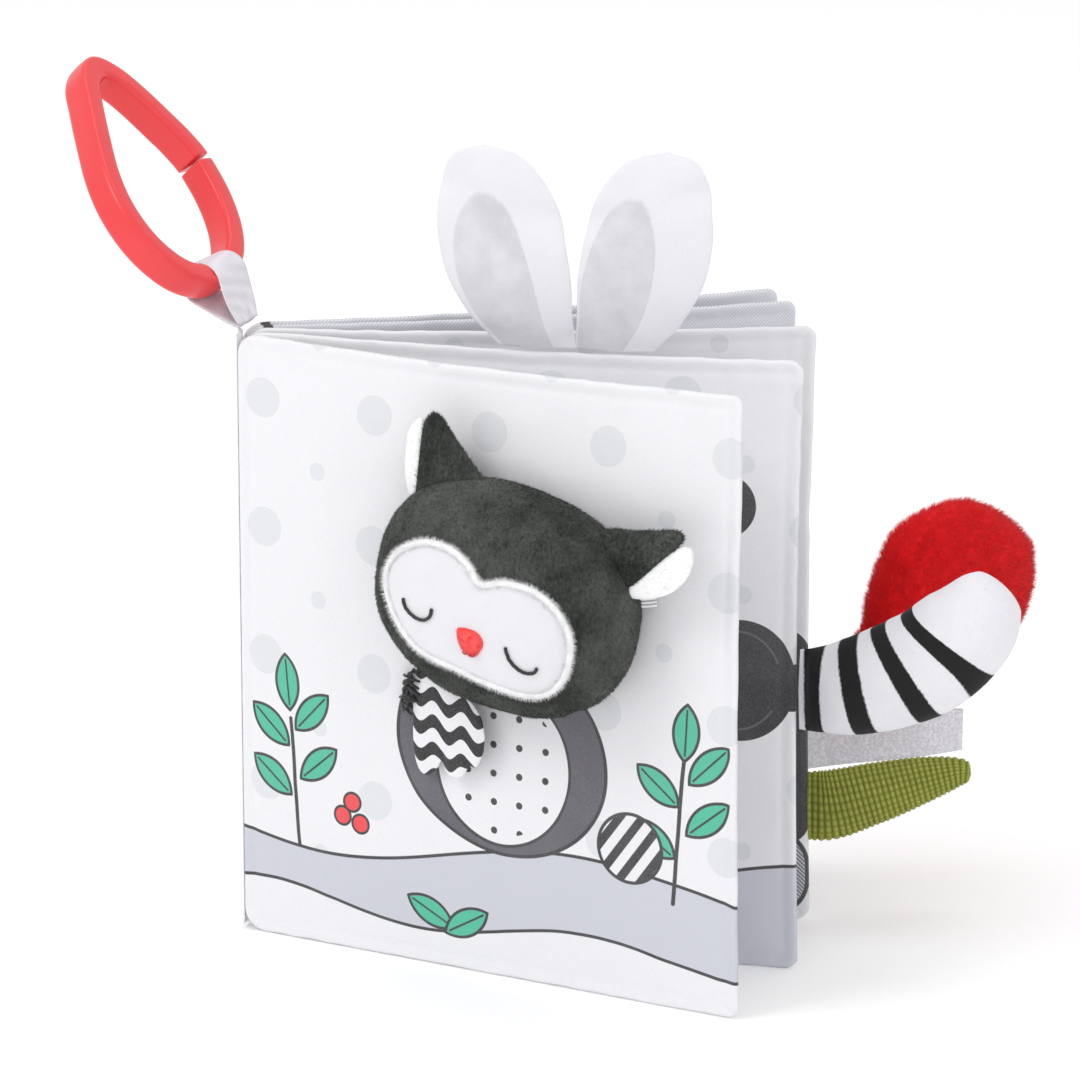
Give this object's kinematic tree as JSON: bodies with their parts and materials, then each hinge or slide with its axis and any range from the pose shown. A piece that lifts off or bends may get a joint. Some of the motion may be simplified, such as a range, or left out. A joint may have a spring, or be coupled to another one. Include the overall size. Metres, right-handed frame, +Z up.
{
  "type": "crinkle cloth book",
  "caption": "Stuffed cloth book for a baby with crinkle leaves, a plush head, soft tails and floppy ears on its edges, and a plastic link ring on a ribbon at the spine.",
  "frame": {"origin": "on the floor at the spine foot of the middle leaf's front panel, on the flat bottom edge that the book stands on", "axes": "+Z up along the spine; +X along the front cover from the spine to its free edge; -Y the way the front cover faces, so the other leaves fan out towards +Y"},
  "size_m": [0.2546, 0.189, 0.2235],
  "materials": {
    "book_cloth": "fine printed polyester weave, matt",
    "crinkle_film": "thin crinkled film",
    "wadding": "loose polyester wadding",
    "spine_cloth": "fine weave, folded and stitched",
    "dark_plush": "short dark grey-green pile",
    "white_fleece": "white fleece with a fluffy edge",
    "coral_fleece": "short coral pile",
    "striped_cloth": "black and white wavy printed stripes",
    "ear_cloth": "white cloth with a grey inner face",
    "striped_plush": "short pile in black and white bands",
    "green_chenille": "ribbed olive green chenille",
    "red_fur": "long red pile",
    "grey_satin": "smooth grey satin",
    "ribbon_satin": "pale satin with stitched edges",
    "red_plastic": "moulded, softly glossy"
  },
  "bodies": {
    "leaf_3": {"leaf_3_front_panel": "book_cloth", "leaf_3_back_panel": "book_cloth", "leaf_3_crinkle_film": "crinkle_film", "leaf_3_wadding": "wadding", "spine_pleat_1": "spine_cloth", "spine_pleat_3": "spine_cloth"},
    "leaf_2": {"leaf_2_front_panel": "book_cloth", "leaf_2_back_panel": "book_cloth", "leaf_2_crinkle_film": "crinkle_film", "leaf_2_wadding": "wadding", "spine_pleat_2": "spine_cloth"},
    "front_cover": {"front_cover_front_panel": "book_cloth", "front_cover_back_panel": "book_cloth", "front_cover_crinkle_film": "crinkle_film", "front_cover_wadding": "wadding", "plush_head": "dark_plush", "left_head_ear": "dark_plush", "right_head_ear": "dark_plush", "face_patch": "white_fleece", "nose": "coral_fleece"},
    "leaf_4": {"leaf_4_front_panel": "book_cloth", "leaf_4_back_panel": "book_cloth", "leaf_4_crinkle_film": "crinkle_film", "leaf_4_wadding": "wadding", "spine_pleat_4": "spine_cloth"},
    "back_cover": {"back_cover_front_panel": "book_cloth", "back_cover_back_panel": "book_cloth", "back_cover_crinkle_film": "crinkle_film", "back_cover_wadding": "wadding"},
    "wing": {"wing_flap": "striped_cloth"},
    "left_ear": {"left_floppy_ear": "ear_cloth"},
    "right_ear": {"right_floppy_ear": "ear_cloth"},
    "striped_tail": {"striped_tail": "striped_plush"},
    "green_tail": {"green_tail": "green_chenille"},
    "red_tail": {"red_tail": "red_fur"},
    "satin_flap": {"satin_flap": "grey_satin"},
    "ribbon": {"hang_ribbon": "ribbon_satin"},
    "ring": {"link_ring": "red_plastic"}
  },
  "joints": [
    {"name": "leaf_2_turn", "type": "hinge", "parent": "leaf_3", "child": "leaf_2", "pos_m": [-0.00177, -0.00211, 0.08], "axis": [0, 0, -1], "range_deg": [-10.8, 134], "deforming": ["spine_pleat_1"]},
    {"name": "front_cover_turn", "type": "hinge", "parent": "leaf_2", "child": "front_cover", "pos_m": [-0.00102, -0.0048, 0.08], "axis": [0, 0, 1], "range_deg": [-134, 11], "deforming": ["spine_pleat_2"]},
    {"name": "leaf_4_turn", "type": "hinge", "parent": "leaf_3", "child": "leaf_4", "pos_m": [-0.00321, 0.0003, 0.08], "axis": [0, 0, -1], "range_deg": [-138, 6.5], "deforming": ["spine_pleat_3"]},
    {"name": "back_cover_turn", "type": "hinge", "parent": "leaf_4", "child": "back_cover", "pos_m": [-0.0051, 0.00236, 0.08], "axis": [0, 0, 1], "range_deg": [-0.7, 144], "deforming": ["spine_pleat_4"]},
    {"name": "wing_lift", "type": "hinge", "parent": "front_cover", "child": "wing", "pos_m": [0.05438, -0.00925, 0.066], "axis": [0, 0, -1], "range_deg": [0, 88], "stiffness_Nm_per_rad": 0.0004},
    {"name": "left_ear_flop", "type": "hinge", "parent": "leaf_2", "child": "left_ear", "pos_m": [0.07335, 0.01741, 0.1593], "axis": [0.9632, 0.2689, 0], "range_deg": [-55, 55], "stiffness_Nm_per_rad": 0.006},
    {"name": "right_ear_flop", "type": "hinge", "parent": "leaf_2", "child": "right_ear", "pos_m": [0.09454, 0.02333, 0.15947], "axis": [0.9632, 0.2689, 0], "range_deg": [-55, 55], "stiffness_Nm_per_rad": 0.006},
    {"name": "striped_tail_wag", "type": "hinge", "parent": "leaf_2", "child": "striped_tail", "pos_m": [0.1401, 0.03605, 0.0745], "axis": [0, 0, -1], "range_deg": [-45, 45], "stiffness_Nm_per_rad": 0.003},
    {"name": "green_tail_wag", "type": "hinge", "parent": "leaf_3", "child": "green_tail", "pos_m": [0.124, 0.0748, 0.031], "axis": [0, 0, -1], "range_deg": [-45, 45], "stiffness_Nm_per_rad": 0.003},
    {"name": "red_tail_wag", "type": "hinge", "parent": "leaf_4", "child": "red_tail", "pos_m": [0.10423, 0.10065, 0.058], "axis": [0, 0, -1], "range_deg": [-45, 45], "stiffness_Nm_per_rad": 0.003},
    {"name": "satin_flap_wag", "type": "hinge", "parent": "leaf_4", "child": "satin_flap", "pos_m": [0.10441, 0.1008, 0.0405], "axis": [0, 0, -1], "range_deg": [-45, 45], "stiffness_Nm_per_rad": 0.0004},
    {"name": "ribbon_tilt", "type": "hinge", "parent": "leaf_3", "child": "ribbon", "pos_m": [-0.00081, -0.0006, 0.16108], "axis": [0.0558, -0.9984, 0], "range_deg": [-25, 25], "stiffness_Nm_per_rad": 0.015},
    {"name": "ring_swing", "type": "hinge", "parent": "ribbon", "child": "ring", "pos_m": [-0.01049, -0.00114, 0.17186], "axis": [-0.0558, 0.9984, 0], "range_deg": [-75, 60]}
  ]
}
